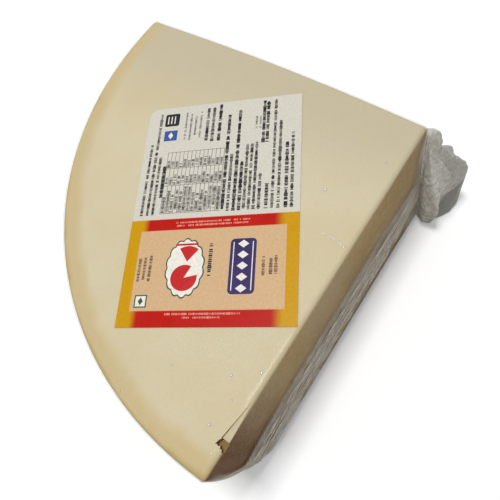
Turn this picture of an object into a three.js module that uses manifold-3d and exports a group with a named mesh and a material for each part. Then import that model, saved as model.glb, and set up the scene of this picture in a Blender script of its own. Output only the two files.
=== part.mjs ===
// A wedge of hard grating cheese, vacuum-packed in a clear film bag, with a paper label on top.
// The wheel was halved in height and then cut in quarters, so the level cut face is up and the wheel's
// own flat face, with its rounded heel, is underneath. The bag's mouth is gathered at the apex.
// Millimetres, +Z up. The shapes are drawn with the apex of the two upright cuts on the Z axis and the
// front cut face in the XZ plane; the group then moves them so that the origin is the middle of the
// bounding box's underside.
import * as THREE from 'three';
import { ConvexGeometry } from 'three/addons/geometries/ConvexGeometry.js';
import { mergeVertices } from 'three/addons/utils/BufferGeometryUtils.js';
import Module from 'manifold-3d';

const wasm = await Module();
wasm.setup();

// The wheel and its cuts
const WHEEL_RADIUS = 201; // at the level cut, where the barrel is widest
const WEDGE_HEIGHT = 100; // half of the wheel's height
const CUT_ANGLE = 92; // degrees between the two upright cut faces
const WHEEL_AXIS = new THREE.Vector2(-16, 14); // the cuts met a little past the wheel's axis
const SIDE_BOW = 2.5; // the back cut face swells by this in its middle

// The rounded heel between the wheel's rim and its flat face, and the edges under the tight film
const HEEL_DEPTH = 26;
const HEEL_HEIGHT = 90;
const HEEL_POWER = 2.3;
const CORNER_RADIUS = 2.5;
const TOP_EDGE_RADIUS = 1.5;
const BASE_EDGE_RADIUS = 3;

// A sliver broken off the front top edge, near the rim
const CHIP_START = -168;
const CHIP_END = -199.5;
const CHIP_WIDTH = 6;
const CHIP_DEPTH = 2.5;
const CHIP_CLEARANCE = 4; // the cutter stands proud of the faces that it cuts by this

// Pleats of slack film along the upright faces: heights at the apex, in the middle and at the rim
const PLEATS = [
  [44, 43, 35],
  [37, 36, 27],
  [30, 29, 19],
  [23, 21, 10],
];
const PLEAT_RADIUS = 3;
const PLEAT_DISTANCES = [2, 105, 190]; // from the apex along the face
const PLEAT_STANDS = [1.6, 2, -0.5]; // out of the face: a pleat dies away at the rim

// The gathered film at the apex: folds that fan out of the upright edge. Bearings are in degrees from +X.
const FOLDS = [
  { bearing: -38, reach: 8.5, width: 60, height: 82, above: 15, below: 24 },
  { bearing: -12, reach: 29, width: 34, height: 40, above: 24, below: 16 },
  { bearing: -38, reach: 31, width: 28, height: 31, above: 29, below: 14 },
  { bearing: -120, reach: 17, width: 34, height: 13, above: 38, below: 34 },
  { bearing: -60, reach: 19, width: 50, height: 40, above: 34, below: 26 },
];
const TAIL_CORE = 3;
const TAIL_TOP = 97;
const CRUMPLE_COUNT = 13; // small creases round the tail
const CRUMPLE_DEPTH = 0.11;
const CRUMPLE_TWIST = 0.05; // radians that the creases turn for each millimetre of height

// The label on the level face
const LABEL_LENGTH = 145;
const LABEL_WIDTH = 99;
const LABEL_THICKNESS = 0.4;
const LABEL_CENTRE = new THREE.Vector2(-96.2, 81.8);
const LABEL_TURN = 31.1; // degrees from +X to the label's length
const LABEL_ROUND = 6; // its one worn corner
const LABEL_ROUND_STEPS = 5;

// Fineness of the faceted surfaces
const SIDE_STEPS = 10;
const CORNER_STEPS = 4;
const RIM_STEPS = 34;
const HEEL_LEVELS = 10;
const EDGE_LEVELS = 3;
const TAIL_LEVELS = 20;
const TAIL_SIDES = 48;
const PLEAT_STEPS = 16;
const PLEAT_SIDES = 8;
const MERGE_DISTANCE = 1e-4; // closer points are one, in a solid that is to be joined or cut

// Cream cheese under glossy film, and white coated paper
const CHEESE_FINISH = { color: 0xd6c6a2, roughness: 0.25, metalness: 0 };
const LABEL_FINISH = { color: 0xe6e1dc, roughness: 0.5, metalness: 0 };

// An upright face: the bearing of its outward normal in radians from +X, that normal, the way the face
// runs from the apex to the rim, and its bow. `turn` is the quarter turn from the normal to that way.
function uprightFace(bearing, turn, bow) {
  const out = new THREE.Vector2(Math.cos(bearing), Math.sin(bearing));
  const along = new THREE.Vector2(Math.cos(bearing + turn), Math.sin(bearing + turn));
  return { bearing, out, along, bow };
}

const FRONT = uprightFace(-Math.PI / 2, -Math.PI / 2, 0);
const BACK = uprightFace(Math.PI / 2 - THREE.MathUtils.degToRad(CUT_ANGLE), Math.PI / 2, SIDE_BOW);

// A closed solid through rings of points of equal count, each ring counterclockwise seen from above
function loft(rings) {
  const count = rings[0].length;
  const middle = (ring) => ring.reduce((sum, p) => sum.add(p), new THREE.Vector3()).divideScalar(count);
  const points = rings.flat();
  const bottomHub = points.push(middle(rings[0])) - 1;
  const topHub = points.push(middle(rings.at(-1))) - 1;
  const topRing = (rings.length - 1) * count;
  const faces = [];
  for (let i = 0; i < count; i += 1) {
    const next = (i + 1) % count;
    faces.push(bottomHub, next, i);
    faces.push(topHub, topRing + i, topRing + next);
    for (let row = 0; row < topRing; row += count) {
      faces.push(row + i, row + next, row + count + next);
      faces.push(row + i, row + count + next, row + count + i);
    }
  }
  const geometry = new THREE.BufferGeometry().setFromPoints(points);
  geometry.setIndex(faces);
  return geometry;
}

// A geometry as a solid that can be joined or cut, and back again
function solid(geometry) {
  const bare = geometry.clone();
  bare.deleteAttribute('normal');
  bare.deleteAttribute('uv');
  const merged = mergeVertices(bare, MERGE_DISTANCE);
  return new wasm.Manifold(
    new wasm.Mesh({
      numProp: 3,
      vertProperties: new Float32Array(merged.attributes.position.array),
      triVerts: new Uint32Array(merged.index.array),
    }),
  );
}

function geometryOf(manifold) {
  const mesh = manifold.getMesh();
  const geometry = new THREE.BufferGeometry();
  geometry.setAttribute('position', new THREE.BufferAttribute(mesh.vertProperties, 3));
  geometry.setIndex(new THREE.BufferAttribute(mesh.triVerts, 1));
  geometry.computeVertexNormals();
  return geometry;
}

function arcPoints(centre, radius, from, to, steps) {
  const points = [];
  for (let i = 0; i <= steps; i += 1) {
    const angle = from + ((to - from) * i) / steps;
    points.push(new THREE.Vector2(radius * Math.cos(angle), radius * Math.sin(angle)).add(centre));
  }
  return points;
}

// The points between the ends of an upright face, bowed out in the middle
function sidePoints(start, end, face) {
  const points = [];
  for (let i = 1; i < SIDE_STEPS; i += 1) {
    const share = i / SIDE_STEPS;
    const bow = face.bow * Math.sin(Math.PI * share);
    points.push(start.clone().lerp(end, share).addScaledVector(face.out, bow));
  }
  return points;
}

// Where an upright face, drawn in by `inset`, meets a circle of `radius` about the wheel's axis
function rimCorner(face, inset, radius) {
  const axis = WHEEL_AXIS.clone().addScaledVector(face.out, inset);
  const distance = axis.dot(face.along) + Math.sqrt(radius ** 2 - axis.dot(face.out) ** 2);
  return face.along.clone().multiplyScalar(distance).addScaledVector(face.out, -inset);
}

// The wedge's outline seen from above, with every side drawn in by `inset` and rounded corners
function planOutline(rimRadius, inset) {
  const centreInset = inset + CORNER_RADIUS;
  const apex = FRONT.out.clone().add(BACK.out);
  apex.multiplyScalar(-centreInset / (1 + FRONT.out.dot(BACK.out)));
  const back = rimCorner(BACK, centreInset, rimRadius - centreInset);
  const front = rimCorner(FRONT, centreInset, rimRadius - centreInset);
  const backRim = back.clone().sub(WHEEL_AXIS).angle();
  const frontRim = front.clone().sub(WHEEL_AXIS).angle();
  const apexArc = arcPoints(apex, CORNER_RADIUS, FRONT.bearing, BACK.bearing, CORNER_STEPS);
  const backArc = arcPoints(back, CORNER_RADIUS, BACK.bearing, backRim, CORNER_STEPS);
  const rimArc = arcPoints(WHEEL_AXIS, rimRadius - inset, backRim, frontRim, RIM_STEPS).slice(1, -1);
  const frontArc = arcPoints(front, CORNER_RADIUS, frontRim, FRONT.bearing + 2 * Math.PI, CORNER_STEPS);
  return [
    ...apexArc,
    ...sidePoints(apexArc.at(-1), backArc[0], BACK),
    ...backArc,
    ...rimArc,
    ...frontArc,
    ...sidePoints(frontArc.at(-1), apexArc[0], FRONT),
  ];
}

// Heights of the rings, closer together where an edge is rounded
function wedgeLevels() {
  const quarterTurn = (i) => (Math.PI / 2) * (i / EDGE_LEVELS);
  const levels = [];
  for (let i = 0; i < EDGE_LEVELS; i += 1) {
    levels.push(BASE_EDGE_RADIUS * (1 - Math.cos(quarterTurn(i))));
  }
  for (let i = 0; i <= HEEL_LEVELS; i += 1) {
    levels.push(BASE_EDGE_RADIUS + ((HEEL_HEIGHT - BASE_EDGE_RADIUS) * i) / HEEL_LEVELS);
  }
  for (let i = 0; i <= EDGE_LEVELS; i += 1) {
    levels.push(WEDGE_HEIGHT - TOP_EDGE_RADIUS * (1 - Math.sin(quarterTurn(i))));
  }
  return levels;
}

function edgeInset(height) {
  const fillet = (radius, distance) => radius - Math.sqrt(radius ** 2 - (radius - distance) ** 2);
  if (height < BASE_EDGE_RADIUS) return fillet(BASE_EDGE_RADIUS, height);
  const below = WEDGE_HEIGHT - height;
  return below < TOP_EDGE_RADIUS ? fillet(TOP_EDGE_RADIUS, below) : 0;
}

function wedgeGeometry() {
  return loft(
    wedgeLevels().map((height) => {
      const heel = HEEL_DEPTH * Math.max(0, 1 - height / HEEL_HEIGHT) ** HEEL_POWER;
      const outline = planOutline(WHEEL_RADIUS - heel, edgeInset(height));
      return outline.map((p) => new THREE.Vector3(p.x, p.y, height));
    }),
  );
}

// The sliver that is missing from the front top edge, as a convex cutter with a sloping underside
function chipGeometry() {
  const top = WEDGE_HEIGHT;
  return new ConvexGeometry([
    new THREE.Vector3(CHIP_START, -CHIP_CLEARANCE, top),
    new THREE.Vector3(CHIP_START, 0, top + CHIP_CLEARANCE),
    new THREE.Vector3(CHIP_START, 0, top),
    new THREE.Vector3(CHIP_END, CHIP_WIDTH, top),
    new THREE.Vector3(CHIP_END, CHIP_WIDTH, top + CHIP_CLEARANCE),
    new THREE.Vector3(CHIP_END, -CHIP_CLEARANCE, top - CHIP_DEPTH),
    new THREE.Vector3(CHIP_END, -CHIP_CLEARANCE, top + CHIP_CLEARANCE),
  ]);
}

// One pleat: a slack roll of film that lies along an upright face, half sunk in it
function pleatGeometry(face, heights) {
  const path = new THREE.CatmullRomCurve3(
    heights.map((height, i) => {
      const distance = PLEAT_DISTANCES[i];
      const bow = face.bow * Math.sin((Math.PI * distance) / WHEEL_RADIUS);
      const p = face.along.clone().multiplyScalar(distance);
      p.addScaledVector(face.out, bow + PLEAT_STANDS[i] - PLEAT_RADIUS);
      return new THREE.Vector3(p.x, p.y, height);
    }),
  );
  const circle = new THREE.Path().absarc(0, 0, PLEAT_RADIUS, 0, 2 * Math.PI);
  const section = new THREE.Shape(circle.getPoints(PLEAT_SIDES / 2));
  return new THREE.ExtrudeGeometry(section, { steps: PLEAT_STEPS, extrudePath: path, bevelEnabled: false });
}

// How far the gathered film reaches from the apex edge, at a height and in a direction in radians from +X
function tailReach(height, bearing) {
  const reach = FOLDS.reduce((furthest, fold) => {
    const turn = (bearing - THREE.MathUtils.degToRad(fold.bearing)) / THREE.MathUtils.degToRad(fold.width);
    const rise = (height - fold.height) / (height > fold.height ? fold.above : fold.below);
    return Math.max(furthest, fold.reach * Math.exp(-(turn ** 2) - rise ** 2));
  }, TAIL_CORE);
  return reach * (1 + CRUMPLE_DEPTH * Math.cos(CRUMPLE_COUNT * bearing + CRUMPLE_TWIST * height));
}

function tailGeometry() {
  const outward = (FRONT.bearing + BACK.bearing) / 2;
  const rings = [];
  for (let level = 0; level <= TAIL_LEVELS; level += 1) {
    const height = (TAIL_TOP * level) / TAIL_LEVELS;
    const ring = [];
    for (let side = 0; side < TAIL_SIDES; side += 1) {
      const bearing = outward + Math.PI * ((2 * side) / TAIL_SIDES - 1);
      const reach = tailReach(height, bearing);
      ring.push(new THREE.Vector3(reach * Math.cos(bearing), reach * Math.sin(bearing), height));
    }
    rings.push(ring);
  }
  return loft(rings);
}

function sealedBag() {
  let bag = solid(wedgeGeometry()).subtract(solid(chipGeometry())).add(solid(tailGeometry()));
  for (const face of [FRONT, BACK]) {
    for (const heights of PLEATS) bag = bag.add(solid(pleatGeometry(face, heights)));
  }
  const mesh = new THREE.Mesh(geometryOf(bag), new THREE.MeshStandardMaterial(CHEESE_FINISH));
  mesh.name = 'sealed_bag';
  return mesh;
}

function label() {
  const [length, width] = [LABEL_LENGTH / 2, LABEL_WIDTH / 2];
  const outline = new THREE.Shape();
  outline.moveTo(-length, -width);
  outline.lineTo(length, -width);
  outline.lineTo(length, width - LABEL_ROUND);
  outline.absarc(length - LABEL_ROUND, width - LABEL_ROUND, LABEL_ROUND, 0, Math.PI / 2);
  outline.lineTo(-length, width);
  const geometry = new THREE.ExtrudeGeometry(outline, {
    depth: LABEL_THICKNESS,
    bevelEnabled: false,
    curveSegments: LABEL_ROUND_STEPS,
  });
  const mesh = new THREE.Mesh(geometry, new THREE.MeshStandardMaterial(LABEL_FINISH));
  mesh.name = 'label';
  mesh.position.set(LABEL_CENTRE.x, LABEL_CENTRE.y, WEDGE_HEIGHT);
  mesh.rotation.z = THREE.MathUtils.degToRad(LABEL_TURN);
  return mesh;
}

const packedWedge = new THREE.Group();
packedWedge.add(sealedBag(), label());
const middle = new THREE.Box3().setFromObject(packedWedge).getCenter(new THREE.Vector3());
packedWedge.position.set(-middle.x, -middle.y, 0);

export default packedWedge;
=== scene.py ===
import math
import random

import bmesh
import bpy
from mathutils import Matrix, Vector, noise


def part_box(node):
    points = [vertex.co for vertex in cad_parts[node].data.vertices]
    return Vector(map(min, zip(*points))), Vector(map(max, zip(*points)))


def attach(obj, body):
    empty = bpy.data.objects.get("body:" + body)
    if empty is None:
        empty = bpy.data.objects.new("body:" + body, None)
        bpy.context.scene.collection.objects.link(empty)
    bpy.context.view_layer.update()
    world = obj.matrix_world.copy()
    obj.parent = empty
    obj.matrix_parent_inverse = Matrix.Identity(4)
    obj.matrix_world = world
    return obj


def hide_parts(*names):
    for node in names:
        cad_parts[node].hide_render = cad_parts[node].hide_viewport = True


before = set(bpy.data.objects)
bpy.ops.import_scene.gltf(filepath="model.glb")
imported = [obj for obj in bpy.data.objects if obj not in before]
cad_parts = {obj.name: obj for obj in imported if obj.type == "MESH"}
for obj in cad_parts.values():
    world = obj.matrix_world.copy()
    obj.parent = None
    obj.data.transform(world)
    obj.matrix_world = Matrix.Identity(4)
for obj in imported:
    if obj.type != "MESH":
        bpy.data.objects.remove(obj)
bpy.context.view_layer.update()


# The view. The pack lies on a pale table and is seen from above its front cut, by someone who holds the
# camera turned by a third of a right angle. The camera stands over the corner where front and rim meet.
mm = 0.001
eye = Vector((-76.15, -160.44, 337.73)) * mm
view_bearing = math.radians(28.18)  # from +Y towards +X
view_drop = math.radians(62.334)  # below the horizon
view_roll = math.radians(30.204)
sensor_width = 36.0
lens = 36.02

forward = Vector((
    math.sin(view_bearing) * math.cos(view_drop),
    math.cos(view_bearing) * math.cos(view_drop),
    -math.sin(view_drop),
))
level_right = Vector((math.cos(view_bearing), -math.sin(view_bearing), 0))
level_up = level_right.cross(forward)
right = level_right * math.cos(view_roll) - level_up * math.sin(view_roll)
up = level_up * math.cos(view_roll) + level_right * math.sin(view_roll)

camera = bpy.data.objects.new("camera", bpy.data.cameras.new("camera"))
camera.data.sensor_width = sensor_width
camera.data.lens = lens
camera.data.clip_start = 10 * mm
camera.matrix_world = Matrix.Translation(eye) @ Matrix((right, up, -forward)).transposed().to_4x4()
bpy.context.collection.objects.link(camera)
bpy.context.scene.camera = camera
bpy.context.scene.view_settings.view_transform = "Standard"


# The light. A soft lamp hangs high above the pack and a little behind its front cut, so that its upright cuts
# are in shade and its shadow stays short. A small lamp beside the camera draws glints along the film's folds.
def add_lamp(name, place, aim, size, power):
    """A square lamp of a side `size` that hangs at `place` and faces `aim`."""
    lamp = bpy.data.objects.new(name, bpy.data.lights.new(name, "AREA"))
    lamp.data.size = size
    lamp.data.energy = power
    lamp.location = place
    lamp.rotation_euler = (aim - place).to_track_quat("-Z", "Y").to_euler()
    bpy.context.collection.objects.link(lamp)


pack_middle = Vector((0, 0, 0.05))
add_lamp("key_lamp", Vector((0.05, 0.22, 3.20)), pack_middle, size=0.6, power=48)
add_lamp("glint_lamp", Vector((0.08, -0.10, 1.29)), pack_middle, size=0.08, power=1.8)


def add_node(tree, kind, inputs=(), **settings):
    """A node with its settings, and its inputs set or linked; `inputs` goes by name or number."""
    node = tree.nodes.new(kind)
    for key, value in settings.items():
        setattr(node, key, value)
    for key, value in dict(inputs).items():
        if isinstance(value, bpy.types.NodeSocket):
            tree.links.new(value, node.inputs[key])
        else:
            node.inputs[key].default_value = value
    return node


seen_strength = 0.95  # how bright the white room is to the camera
felt_strength = 0.50  # and how much light it gives
sky = bpy.data.worlds.new("room")
sky.use_nodes = True
sky.node_tree.nodes.clear()
seen = add_node(
    sky.node_tree, "ShaderNodeBackground", {"Color": (1.0, 1.0, 1.0, 1.0), "Strength": seen_strength}
)
felt = add_node(
    sky.node_tree, "ShaderNodeBackground", {"Color": (0.94, 0.97, 1.0, 1.0), "Strength": felt_strength}
)
path = add_node(sky.node_tree, "ShaderNodeLightPath")
both = add_node(
    sky.node_tree,
    "ShaderNodeMixShader",
    {0: path.outputs["Is Camera Ray"], 1: felt.outputs[0], 2: seen.outputs[0]},
)
add_node(sky.node_tree, "ShaderNodeOutputWorld", {"Surface": both.outputs[0]})
bpy.context.scene.world = sky


# The table top: a wide plain sheet of white laminate, faintly uneven in its gloss. It throws back less light
# on the pack than the camera sees in it, so that the pack's sides keep their depth.
def paint(red, green, blue):
    """A colour as a screen shows it, 0 to 255, as the share of light that it stands for."""
    def light(level):
        level /= 255
        return level / 12.92 if level <= 0.04045 else ((level + 0.055) / 1.055) ** 2.4
    return (light(red), light(green), light(blue), 1.0)


def new_finish(name):
    """A material with an empty node tree, and that tree."""
    finish = bpy.data.materials.new(name)
    finish.use_nodes = True
    finish.node_tree.nodes.clear()
    return finish, finish.node_tree


def reckon(tree, operation, *values, clamp=False):
    """One step of arithmetic on numbers or sockets."""
    node = add_node(tree, "ShaderNodeMath", enumerate(values), operation=operation, use_clamp=clamp)
    return node.outputs[0]


def mix_colours(tree, share, first, second, how="MIX"):
    node = add_node(
        tree, "ShaderNodeMix", {0: share, 6: first, 7: second}, data_type="RGBA", blend_type=how
    )
    return node.outputs[2]


def clouds(tree, place, scale, detail=2.0):
    """Soft random patches; `scale` is how many of them there are to a metre."""
    node = add_node(tree, "ShaderNodeTexNoise", {"Vector": place, "Scale": scale, "Detail": detail})
    return node.outputs[0]


def stretch(tree, value, low, high, to_low=0.0, to_high=1.0, ease="SMOOTHSTEP"):
    """`value` from low to high becomes to_low to to_high, and stays there beyond."""
    node = add_node(
        tree,
        "ShaderNodeMapRange",
        {0: value, 1: low, 2: high, 3: to_low, 4: to_high},
        interpolation_type=ease,
    )
    return node.outputs[0]


def mix_shaders(tree, share, first, second):
    return add_node(tree, "ShaderNodeMixShader", {0: share, 1: first, 2: second}).outputs[0]


table_half = 6.0
table_drop = 0.1 * mm
table_colour = paint(246, 246, 245)
table_bounce = paint(188, 184, 176)
table_glow = 0.12
sweep_start = 0.45  # from here outwards the table fades into the white room
sweep_end = 1.6

table_finish, tree = new_finish("table_laminate")
place = add_node(tree, "ShaderNodeTexCoord").outputs["Object"]
gloss = stretch(tree, clouds(tree, place, 12.0), 0.3, 0.7, 0.55, 0.7)
far_out = add_node(tree, "ShaderNodeVectorMath", {0: place}, operation="LENGTH").outputs["Value"]
coat = add_node(tree, "ShaderNodeBsdfPrincipled", {
    "Base Color": table_colour,
    "Roughness": gloss,
    "Emission Color": (1.0, 1.0, 1.0, 1.0),
    "Emission Strength": stretch(tree, far_out, sweep_start, sweep_end, table_glow, seen_strength),
})
coat.inputs["Specular IOR Level"].default_value = 0.1
bounce = add_node(tree, "ShaderNodeBsdfDiffuse", {"Color": table_bounce}).outputs[0]
path = add_node(tree, "ShaderNodeLightPath").outputs["Is Camera Ray"]
add_node(tree, "ShaderNodeOutputMaterial", {"Surface": mix_shaders(tree, path, bounce, coat.outputs[0])})

corners = [(-1, -1), (1, -1), (1, 1), (-1, 1)]
table_mesh = bpy.data.meshes.new("table_top")
table_points = [(x * table_half, y * table_half, -table_drop) for x, y in corners]
table_mesh.from_pydata(table_points, [], [(0, 1, 2, 3)])
table_mesh.materials.append(table_finish)
table_top = bpy.data.objects.new("table_top", table_mesh)
bpy.context.collection.objects.link(table_top)


# The cheese: a quarter of a half-height wheel of hard grating cheese. The level cut is up, the wheel's flat
# face is down, and a sliver has broken off the front top edge near the rim. It is cut with a wire from the
# wheel, so its faces are smooth, with fine grains and pale crystals, inside a gold rind.
wheel_radius = 201 * mm
wedge_height = 100 * mm
cut_angle = math.radians(92)
wheel_axis = Vector((-16, 14)) * mm  # from the edge where the two upright cuts meet
back_bow = 2.5 * mm
heel_depth = 26 * mm
heel_height = 90 * mm
heel_power = 2.3
corner_radius = 2.5 * mm
top_edge_radius = 2.5 * mm
base_edge_radius = 1.5 * mm

bag_low, bag_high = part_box("sealed_bag")
cuts_meet = Vector((bag_low.x + wheel_radius - wheel_axis.x, bag_high.y - wheel_radius - wheel_axis.y))


class UprightCut:
    """An upright face: the bearing of its outward normal, the way from the apex to the rim, its bow."""

    def __init__(self, bearing, turn, bow):
        self.bearing = bearing
        self.out = Vector((math.cos(bearing), math.sin(bearing)))
        self.along = Vector((math.cos(bearing + turn), math.sin(bearing + turn)))
        self.bow = bow


front_cut = UprightCut(-math.pi / 2, -math.pi / 2, 0)
back_cut = UprightCut(math.pi / 2 - cut_angle, math.pi / 2, back_bow)


def arc(centre, radius, start, end, steps):
    return [
        centre + radius * Vector((math.cos(angle), math.sin(angle)))
        for angle in (start + (end - start) * i / steps for i in range(steps + 1))
    ]


def bowed_side(start, end, face, steps):
    """The points between the ends of an upright face."""
    return [
        start.lerp(end, i / steps) + face.out * face.bow * math.sin(math.pi * i / steps)
        for i in range(1, steps)
    ]


def rim_corner(face, inset, radius):
    """Where an upright face, drawn in by `inset`, meets a circle about the wheel's axis."""
    axis = wheel_axis + face.out * inset
    distance = axis.dot(face.along) + math.sqrt(radius ** 2 - axis.dot(face.out) ** 2)
    return face.along * distance - face.out * inset


def plan_outline(rim_radius, inset, side_steps=56, corner_steps=5, rim_steps=120):
    """The wedge seen from above: apex, back cut, rim and front cut, with every side drawn in by `inset`."""
    centre_inset = inset + corner_radius
    apex = (front_cut.out + back_cut.out) * (-centre_inset / (1 + front_cut.out.dot(back_cut.out)))
    back = rim_corner(back_cut, centre_inset, rim_radius - centre_inset)
    front = rim_corner(front_cut, centre_inset, rim_radius - centre_inset)
    back_rim = math.atan2(*(back - wheel_axis).yx)
    front_rim = math.atan2(*(front - wheel_axis).yx) % (2 * math.pi)
    apex_arc = arc(apex, corner_radius, front_cut.bearing, back_cut.bearing, corner_steps)
    back_arc = arc(back, corner_radius, back_cut.bearing, back_rim, corner_steps)
    rim_arc = arc(wheel_axis, rim_radius - inset, back_rim, front_rim, rim_steps)[1:-1]
    front_arc = arc(front, corner_radius, front_rim, front_cut.bearing + 2 * math.pi, corner_steps)
    return [
        *apex_arc,
        *bowed_side(apex_arc[-1], back_arc[0], back_cut, side_steps),
        *back_arc,
        *rim_arc,
        *front_arc,
        *bowed_side(front_arc[-1], apex_arc[0], front_cut, side_steps),
    ]


def heel_inset(height):
    """How far the rounded heel lies inside the rim at its widest."""
    return heel_depth * max(0.0, 1 - height / heel_height) ** heel_power


def edge_inset(height, top_radius=top_edge_radius):
    """How far the rounded top and base edges draw the sides in."""
    if height < base_edge_radius:
        return base_edge_radius - math.sqrt(base_edge_radius ** 2 - (base_edge_radius - height) ** 2)
    below = wedge_height - height
    if below < top_radius:
        return top_radius - math.sqrt(top_radius ** 2 - (top_radius - below) ** 2)
    return 0.0


def wedge_levels(edge_steps=8, heel_steps=34, top_radius=top_edge_radius):
    """Heights of the rings, closer together at the rounded edges."""
    quarter = [math.pi / 2 * i / edge_steps for i in range(edge_steps + 1)]
    base = [base_edge_radius * (1 - math.cos(turn)) for turn in quarter[:-1]]
    middle_height = wedge_height - top_radius - base_edge_radius
    heel = [base_edge_radius + middle_height * i / heel_steps for i in range(heel_steps)]
    top = [wedge_height - top_radius * (1 - math.sin(turn)) for turn in quarter]
    return base + heel + top


def skin_over(name, rings, cap_steps=1):
    """A closed body through rings of points, each counterclockwise from above. Each end is closed by rings
    that shrink towards its middle in `cap_steps` steps."""
    count = len(rings[0])

    def shrunk(ring):
        middle = sum(ring, Vector((0, 0, 0))) / count
        return middle, [[middle.lerp(p, 1 - i / cap_steps) for p in ring] for i in range(1, cap_steps)]

    bottom_middle, bottom_rings = shrunk(rings[0])
    top_middle, top_rings = shrunk(rings[-1])
    rows = bottom_rings[::-1] + rings + top_rings
    points = [p for row in rows for p in row] + [bottom_middle, top_middle]
    faces = []
    for row in range(len(rows) - 1):
        for i in range(count):
            a, b = row * count + i, row * count + (i + 1) % count
            faces.append((a, b, b + count, a + count))
    last = (len(rows) - 1) * count
    for i in range(count):
        following = (i + 1) % count
        faces.append((len(points) - 2, following, i))
        faces.append((len(points) - 1, last + i, last + following))
    mesh = bpy.data.meshes.new(name)
    mesh.from_pydata(points, [], faces)
    return mesh


def add_piece(name, mesh, finish, node, sharp=math.radians(40)):
    """Shades the mesh smooth but for its sharp edges, gives it its finish and hands it to the frame."""
    mesh.materials.clear()
    mesh.materials.append(finish)
    mesh.shade_smooth()
    mesh.set_sharp_from_angle(angle=sharp)
    piece = bpy.data.objects.new(name, mesh)
    bpy.context.collection.objects.link(piece)
    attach(piece, "root")
    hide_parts(node)
    return piece


film_gap = 0.35 * mm  # the film stands off the sides by this, and off the level cut by less
top_gap = 0.25 * mm
heel_slack = 2.2 * mm  # more of it at the heel, below the front corner
slack_width = 34 * mm
grain_depth = 0.05 * mm
grain_size = 9 * mm
cheese_edge_radius = 3.3 * mm

front_corner = rim_corner(front_cut, corner_radius, wheel_radius - corner_radius)


def cheese_ring(height):
    share = height / wedge_height
    level = top_gap + (wedge_height - 2 * top_gap) * share
    inset = edge_inset(height, cheese_edge_radius) + film_gap
    outline = plan_outline(wheel_radius - heel_inset(height), inset)
    centre = sum(outline, Vector((0, 0))) / len(outline)
    ring = []
    for p in outline:
        near = math.exp(-((p - front_corner).length / slack_width) ** 2)
        low_down = min(1.0, 1.6 * (1 - share))
        inward = (centre - p).normalized() * heel_slack * near * low_down ** 2
        ring.append(Vector((*(cuts_meet + p + inward), level)))
    return ring


def roughen(mesh, depth, size):
    """Moves each point along its normal by up to `depth`, in patches of about `size`."""
    normals = [v.normal.copy() for v in mesh.vertices]
    for v, normal in zip(mesh.vertices, normals):
        v.co += normal * depth * noise.fractal(v.co / size, 0.6, 2.0, 3)


cheese_rings = [cheese_ring(height) for height in wedge_levels(top_radius=cheese_edge_radius)]
cheese_mesh = skin_over("cheese", cheese_rings, cap_steps=30)
roughen(cheese_mesh, grain_depth, grain_size)

# The broken sliver: a shallow facet below a small step, and a deeper jagged notch where it ends. Its places
# are in mm from the edge where the upright cuts meet.
facet_start = -169.0
facet_end = -195.6
facet_reach = 4.5  # how far inside the front cut the facet begins at its wide end
facet_step = 1.9
facet_slope = 0.2
notch_outline = [
    (-195.4, -4), (-195.2, 2.4), (-194.9, 4.2), (-196.6, 5.2), (-199.4, 6.0), (-198.9, 4.9), (-199.7, 4.0),
    (-198.7, 3.1), (-200.3, 2.2), (-199.9, 1.4), (-201.4, 0.9), (-201.0, -4),
]
notch_depth = 3.9
notch_draw = 0.78  # its floor is this share of its mouth
cutter_clearance = 4 * mm


def facet_depth(x, y):
    """How deep the facet lies, all in mm."""
    share = (facet_start - x) / (facet_start - facet_end)
    return facet_step * min(1.0, 0.6 + 2 * share) + facet_slope * (facet_reach * share - y)


def cutter_prism(name, outline, floor):
    """A closed prism: its mouth above the level cut, and its floor as (x, y, depth) in mm."""
    mouth = [Vector((*(cuts_meet + Vector(p) * mm), wedge_height + cutter_clearance)) for p in outline]
    lower = [Vector((*(cuts_meet + Vector((x, y)) * mm), wedge_height - depth * mm)) for x, y, depth in floor]
    count = len(outline)
    faces = [tuple(range(count)), tuple(range(2 * count - 1, count - 1, -1))]
    faces += [(i, i + count, (i + 1) % count + count, (i + 1) % count) for i in range(count)]
    mesh = bpy.data.meshes.new(name)
    mesh.from_pydata(mouth + lower, [], faces)
    shape = bmesh.new()
    shape.from_mesh(mesh)
    bmesh.ops.triangulate(shape, faces=shape.faces[:])
    bmesh.ops.recalc_face_normals(shape, faces=shape.faces[:])
    shape.to_mesh(mesh)
    shape.free()
    return mesh


def settle(piece):
    """Turns what the piece's modifiers make into its own plain mesh."""
    graph = bpy.context.evaluated_depsgraph_get()
    mesh = bpy.data.meshes.new_from_object(piece.evaluated_get(graph))
    piece.modifiers.clear()
    return mesh


facet_outline = [(facet_start, -4), (facet_start, 0.5), (facet_end, facet_reach), (facet_end, -4)]
facet_floor = [(x, y, facet_depth(x, y)) for x, y in facet_outline]
notch_middle = sum((Vector(p) for p in notch_outline), Vector((0, 0))) / len(notch_outline)
notch_floor = [(*notch_middle.lerp(Vector(p), notch_draw), notch_depth) for p in notch_outline]
for name, outline, floor in (
    ("facet_cutter", facet_outline, facet_floor),
    ("notch_cutter", notch_outline, notch_floor),
):
    cutter = bpy.data.objects.new(name, cutter_prism(name, outline, floor))
    uncut = bpy.data.objects.new("uncut_cheese", cheese_mesh)
    for tool in (cutter, uncut):
        bpy.context.collection.objects.link(tool)
    breaking = uncut.modifiers.new("chip", "BOOLEAN")
    breaking.operation = "DIFFERENCE"
    breaking.solver = "EXACT"
    breaking.object = cutter
    cheese_mesh = settle(uncut)
    for tool in (cutter, uncut):
        bpy.data.objects.remove(tool)

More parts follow.
